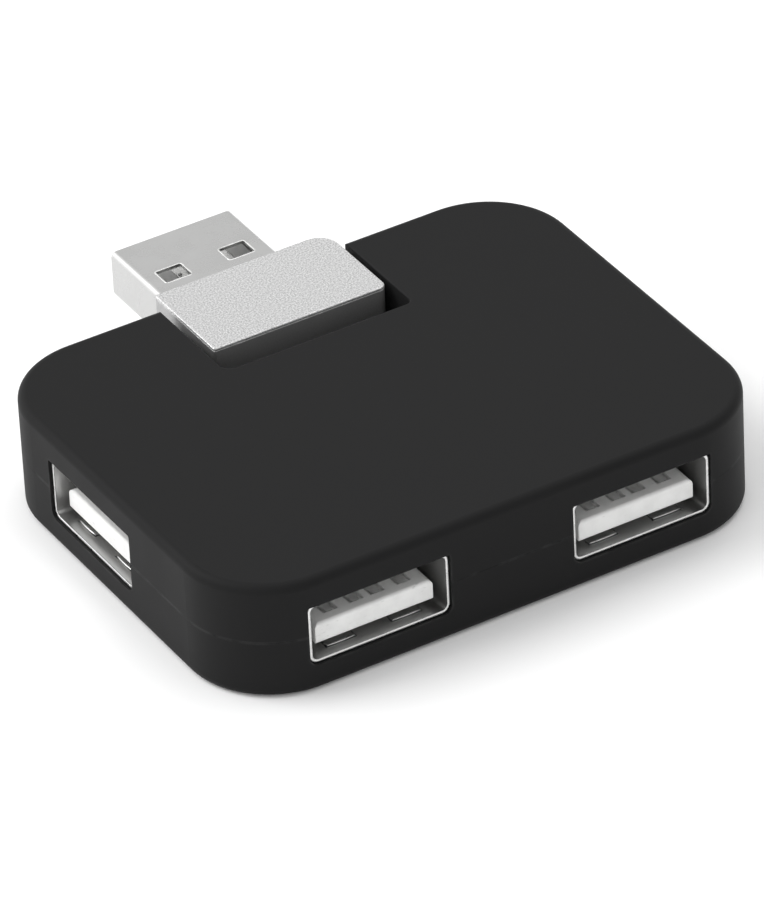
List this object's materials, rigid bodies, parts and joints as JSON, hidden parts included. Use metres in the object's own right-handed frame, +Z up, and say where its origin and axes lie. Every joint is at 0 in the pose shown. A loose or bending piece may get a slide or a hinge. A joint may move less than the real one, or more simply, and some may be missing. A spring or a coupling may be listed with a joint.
{
  "type": "usb hub",
  "caption": "Pocket-size hub with receptacles on its front and sides and a plug in a hinged block that folds into a recess underneath.",
  "frame": {"origin": "centre of the casing's underside", "axes": "+Y towards the tip of the unfolded plug, +Z up from the underside, +X to the right seen from the front receptacles"},
  "size_m": [0.0526, 0.052, 0.011],
  "materials": {
    "casing": "soft-touch matte",
    "board": "green solder mask",
    "package_black": "moulded",
    "tinned": "tinned",
    "nickel_can": "nickel plated",
    "aluminium_can": "drawn",
    "ceramic": "sintered",
    "fuse_green": "coated",
    "silver_paint": "metallic lacquer with fine flake",
    "steel": "satin nickel plate",
    "white_plastic": "moulded",
    "contacts": "nickel plated",
    "wire_red": "extruded",
    "wire_white": "extruded",
    "wire_green": "extruded",
    "wire_black": "extruded"
  },
  "bodies": {
    "hub": {"upper_casing": "casing", "lower_casing": "casing", "circuit_board": "board", "hub_controller": "package_black", "controller_leads": "tinned", "crystal_can": "nickel_can", "capacitor_can": "aluminium_can", "capacitor_base": "package_black", "ceramic_capacitors": "ceramic", "chip_resistors": "package_black", "resettable_fuse": "fuse_green", "shell_left": "steel", "shell_front_left": "steel", "shell_front_right": "steel", "shell_right": "steel", "insulator_left": "white_plastic", "insulator_front_left": "white_plastic", "insulator_front_right": "white_plastic", "insulator_right": "white_plastic", "contacts_left": "contacts", "contacts_front_left": "contacts", "contacts_front_right": "contacts", "contacts_right": "contacts", "hub_lead_red": "wire_red", "hub_lead_white": "wire_white", "hub_lead_green": "wire_green", "hub_lead_black": "wire_black"},
    "plug": {"plug_housing": "silver_paint", "plug_lid": "silver_paint", "plug_shell": "steel", "plug_insulator": "white_plastic", "plug_contacts": "contacts", "plug_lead_red": "wire_red", "plug_lead_white": "wire_white", "plug_lead_green": "wire_green", "plug_lead_black": "wire_black"}
  },
  "joints": [
    {"name": "plug_fold", "type": "hinge", "parent": "hub", "child": "plug", "pos_m": [0, 0.01775, 0.0055], "axis": [-1, 0, 0], "range_deg": [0, 180]}
  ]
}
